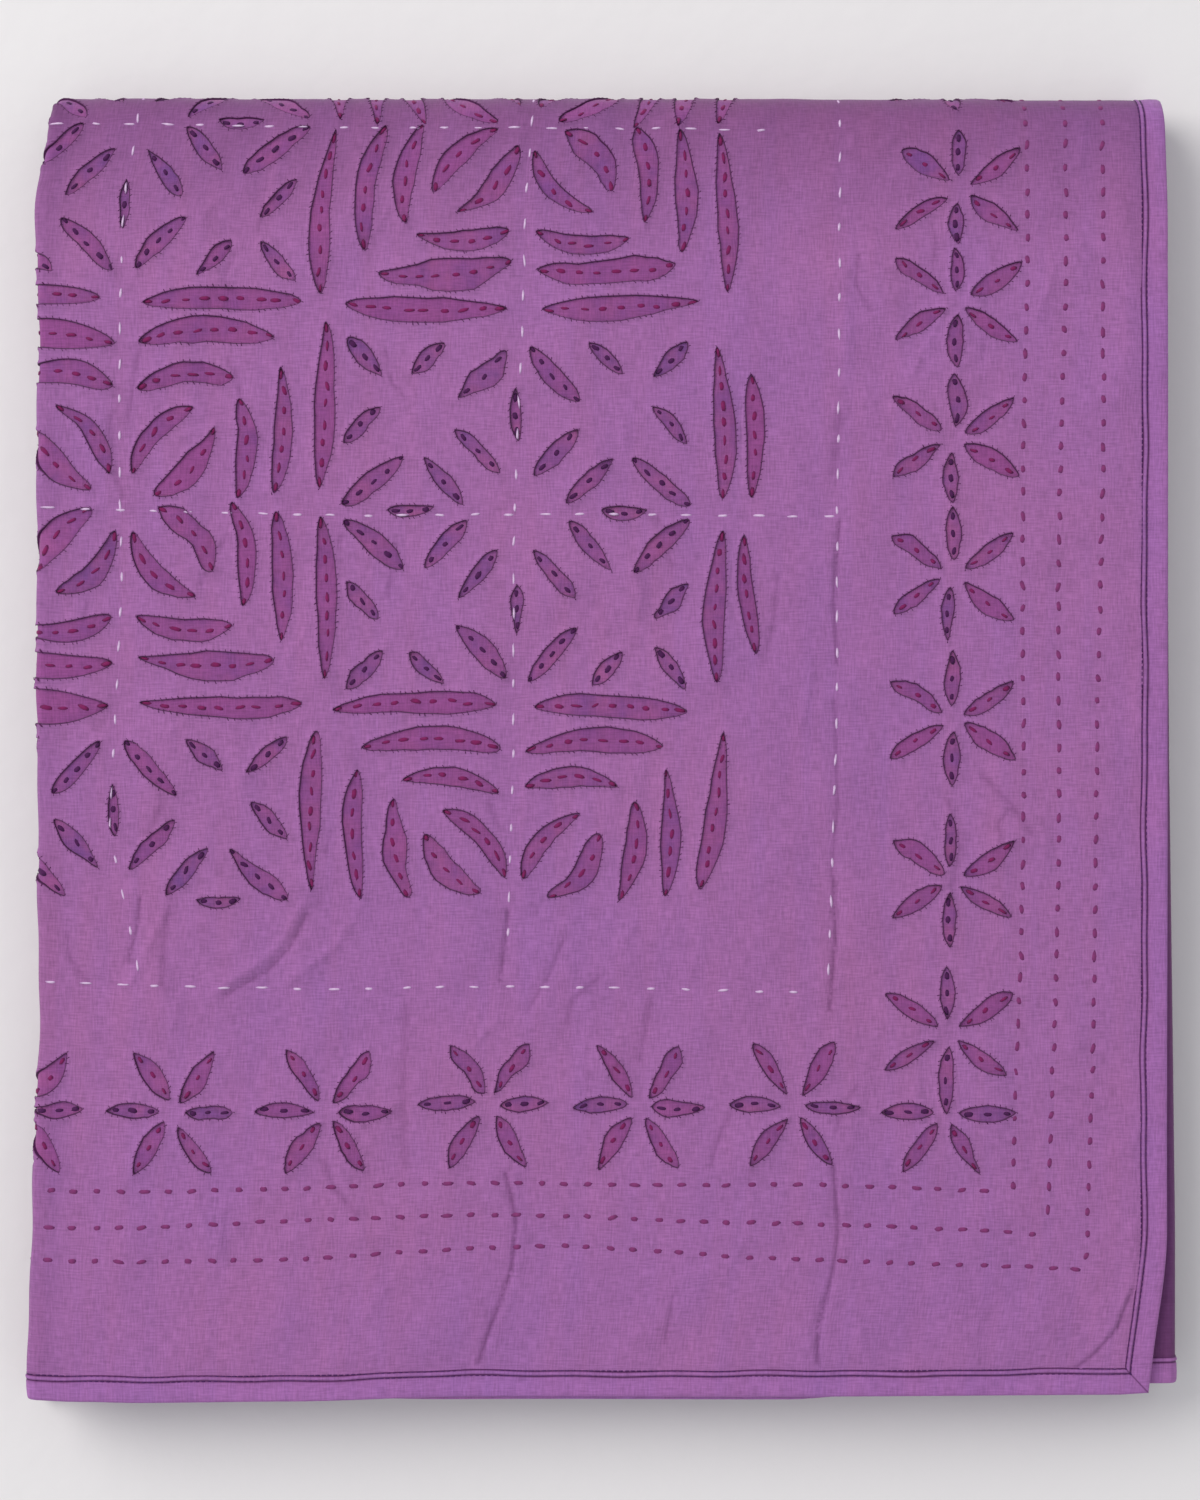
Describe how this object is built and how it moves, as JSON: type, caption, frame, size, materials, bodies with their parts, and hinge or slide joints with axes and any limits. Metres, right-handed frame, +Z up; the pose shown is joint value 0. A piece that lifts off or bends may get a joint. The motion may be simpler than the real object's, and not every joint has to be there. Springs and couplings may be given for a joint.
{
  "type": "folded applique quilt",
  "caption": "Cutwork applique bed quilt in purple cotton, folded into a flat bundle with its bound edges at the open end and one side.",
  "frame": {"origin": "under the middle of the bundle's footprint, on the surface that it lies on", "axes": "+X towards the side where the top layer's bound edge lies open, +Y towards the rounded fold, +Z up"},
  "size_m": [0.5404, 0.617, 0.0427],
  "materials": {
    "quilt_cotton": "matte plain-weave cotton with running stitches",
    "binding_cotton": "matte plain-weave cotton strip with one line of machine stitching"
  },
  "bodies": {
    "root": {"quilt_cloth": "quilt_cotton", "binding": "binding_cotton"}
  },
  "joints": []
}
